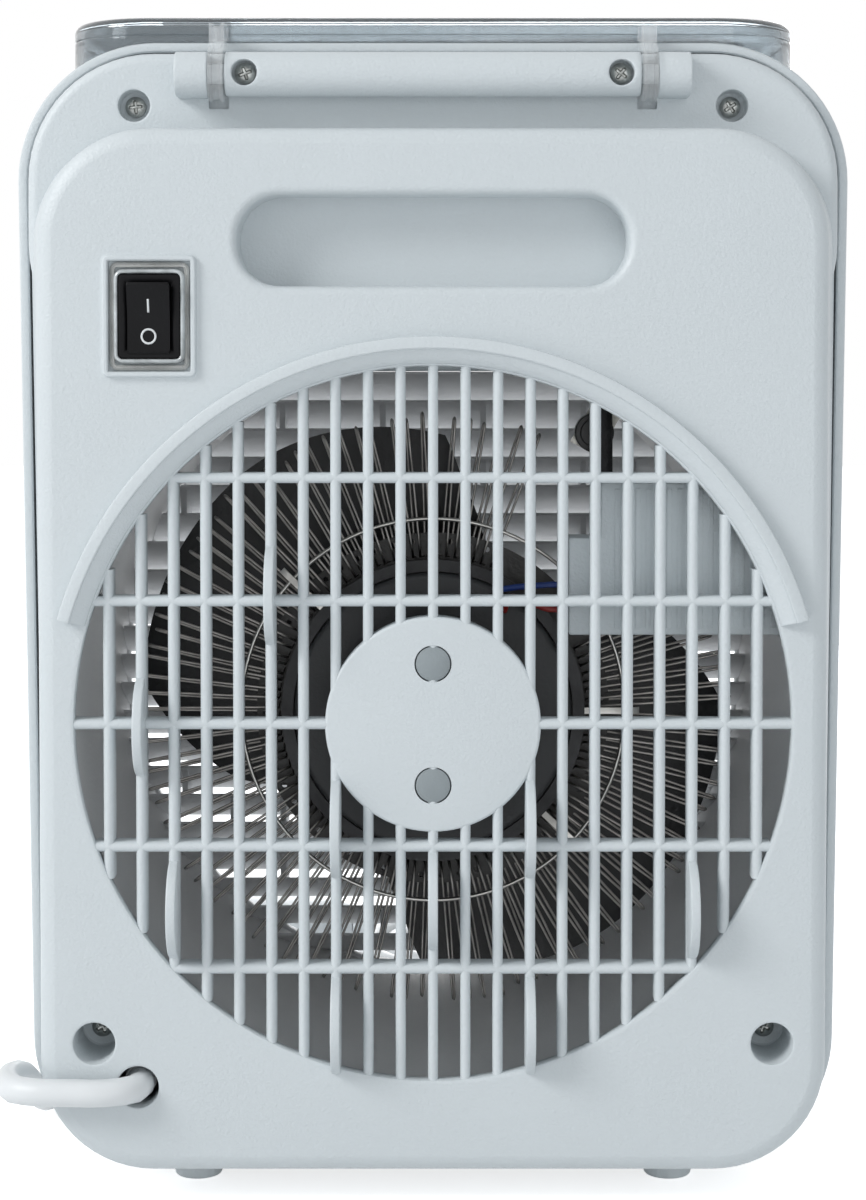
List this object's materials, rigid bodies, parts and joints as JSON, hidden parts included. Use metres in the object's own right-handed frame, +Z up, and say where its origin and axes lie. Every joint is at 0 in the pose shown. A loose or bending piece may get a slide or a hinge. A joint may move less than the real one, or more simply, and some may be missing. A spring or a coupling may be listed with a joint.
{
  "type": "fan heater",
  "caption": "Upright fan heater with a round rear intake grille, hooded and finned, a carrying recess, a hinged lid over its controls, a rocker switch and a coiled cord.",
  "frame": {"origin": "on the floor, under the middle of the heater without its cord", "axes": "+Z up, +Y towards the front where the warm air leaves, +X to the right seen from behind"},
  "size_m": [0.2155, 0.3002, 0.2976],
  "materials": {
    "air_duct": "moulded",
    "control_box": "fine moulded texture",
    "control_deck": "fine moulded texture",
    "cord_coil": "smooth, flexible",
    "cord_gland": "moulded",
    "cord_tail": "smooth, flexible",
    "cutout_bracket": "bright",
    "element_bracket": "bright",
    "fan_impeller": "moulded, slightly glossy",
    "fan_nut": "bright",
    "foot_front_left": "matt",
    "foot_front_right": "matt",
    "foot_rear_left": "matt",
    "foot_rear_right": "matt",
    "front_grille": "moulded",
    "front_shell": "fine moulded texture",
    "grille_plug_lower": "moulded",
    "grille_plug_upper": "moulded",
    "heating_wire": "resistance alloy",
    "hinge_bar": "fine moulded texture",
    "hinge_bar_screw_left": "bright",
    "hinge_bar_screw_right": "bright",
    "housing_screw_bottom_left": "bright",
    "housing_screw_bottom_right": "bright",
    "housing_screw_top_left": "bright",
    "housing_screw_top_right": "bright",
    "indicator_lens": "clear",
    "lid": "smoked clear",
    "lid_hinge_arm_left": "clear",
    "lid_hinge_arm_right": "clear",
    "mica_ring": "mica board",
    "mode_knob": "moulded",
    "mode_switch_body": "moulded, slightly glossy",
    "motor_body": "bright",
    "motor_cover": "moulded",
    "motor_screw_lower": "bright",
    "motor_screw_upper": "bright",
    "motor_shaft": "bright",
    "motor_wire_blue": "insulated wire",
    "motor_wire_red": "insulated wire",
    "plug_body": "smooth, flexible",
    "plug_pin_far": "bright",
    "plug_pin_near": "bright",
    "power_cord": "smooth, flexible",
    "rear_shell": "fine moulded texture",
    "switch_body": "moulded, slightly glossy",
    "switch_boot": "clear",
    "switch_rocker": "moulded, slightly glossy",
    "switch_terminal_lower": "bright",
    "switch_terminal_upper": "bright",
    "thermal_cutout": "moulded, slightly glossy",
    "thermostat_body": "moulded, slightly glossy",
    "thermostat_knob": "moulded",
    "wire_ring": "bright",
    "wire_sleeve": "moulded, slightly glossy"
  },
  "bodies": {
    "base": {"air_duct": "air_duct", "control_box": "control_box", "control_deck": "control_deck", "cord_coil": "cord_coil", "cord_gland": "cord_gland", "cord_tail": "cord_tail", "cutout_bracket": "cutout_bracket", "element_bracket": "element_bracket", "foot_front_left": "foot_front_left", "foot_front_right": "foot_front_right", "foot_rear_left": "foot_rear_left", "foot_rear_right": "foot_rear_right", "front_grille": "front_grille", "front_shell": "front_shell", "grille_plug_lower": "grille_plug_lower", "grille_plug_upper": "grille_plug_upper", "heating_wire": "heating_wire", "hinge_bar": "hinge_bar", "hinge_bar_screw_left": "hinge_bar_screw_left", "hinge_bar_screw_right": "hinge_bar_screw_right", "housing_screw_bottom_left": "housing_screw_bottom_left", "housing_screw_bottom_right": "housing_screw_bottom_right", "housing_screw_top_left": "housing_screw_top_left", "housing_screw_top_right": "housing_screw_top_right", "indicator_lens": "indicator_lens", "mica_ring": "mica_ring", "mode_switch_body": "mode_switch_body", "motor_body": "motor_body", "motor_cover": "motor_cover", "motor_screw_lower": "motor_screw_lower", "motor_screw_upper": "motor_screw_upper", "motor_wire_blue": "motor_wire_blue", "motor_wire_red": "motor_wire_red", "plug_body": "plug_body", "plug_pin_far": "plug_pin_far", "plug_pin_near": "plug_pin_near", "power_cord": "power_cord", "rear_shell": "rear_shell", "switch_body": "switch_body", "switch_boot": "switch_boot", "switch_terminal_lower": "switch_terminal_lower", "switch_terminal_upper": "switch_terminal_upper", "thermal_cutout": "thermal_cutout", "thermostat_body": "thermostat_body", "wire_ring": "wire_ring", "wire_sleeve": "wire_sleeve"},
    "lid": {"lid": "lid", "lid_hinge_arm_left": "lid_hinge_arm_left", "lid_hinge_arm_right": "lid_hinge_arm_right"},
    "rocker": {"switch_rocker": "switch_rocker"},
    "fan": {"fan_impeller": "fan_impeller", "motor_shaft": "motor_shaft", "fan_nut": "fan_nut"},
    "thermostat knob": {"thermostat_knob": "thermostat_knob"},
    "mode knob": {"mode_knob": "mode_knob"}
  },
  "joints": [
    {"name": "lid_hinge", "type": "hinge", "parent": "base", "child": "lid", "pos_m": [0, -0.0513, 0.2817], "axis": [1, 0, 0], "range_deg": [0, 100]},
    {"name": "switch_rocker", "type": "hinge", "parent": "base", "child": "rocker", "pos_m": [-0.0696, -0.0599, 0.2216], "axis": [-1, 0, 0], "range_deg": [0, 18]},
    {"name": "fan_spin", "type": "hinge", "parent": "base", "child": "fan", "pos_m": [0, -0.0115, 0.1208], "axis": [0, 1, 0], "continuous": true},
    {"name": "thermostat_turn", "type": "hinge", "parent": "base", "child": "thermostat knob", "pos_m": [0.032, 0.001, 0.2858], "axis": [0, 0, -1], "range_deg": [0, 270]},
    {"name": "mode_turn", "type": "hinge", "parent": "base", "child": "mode knob", "pos_m": [-0.032, 0.001, 0.2858], "axis": [0, 0, -1], "range_deg": [0, 180]}
  ]
}
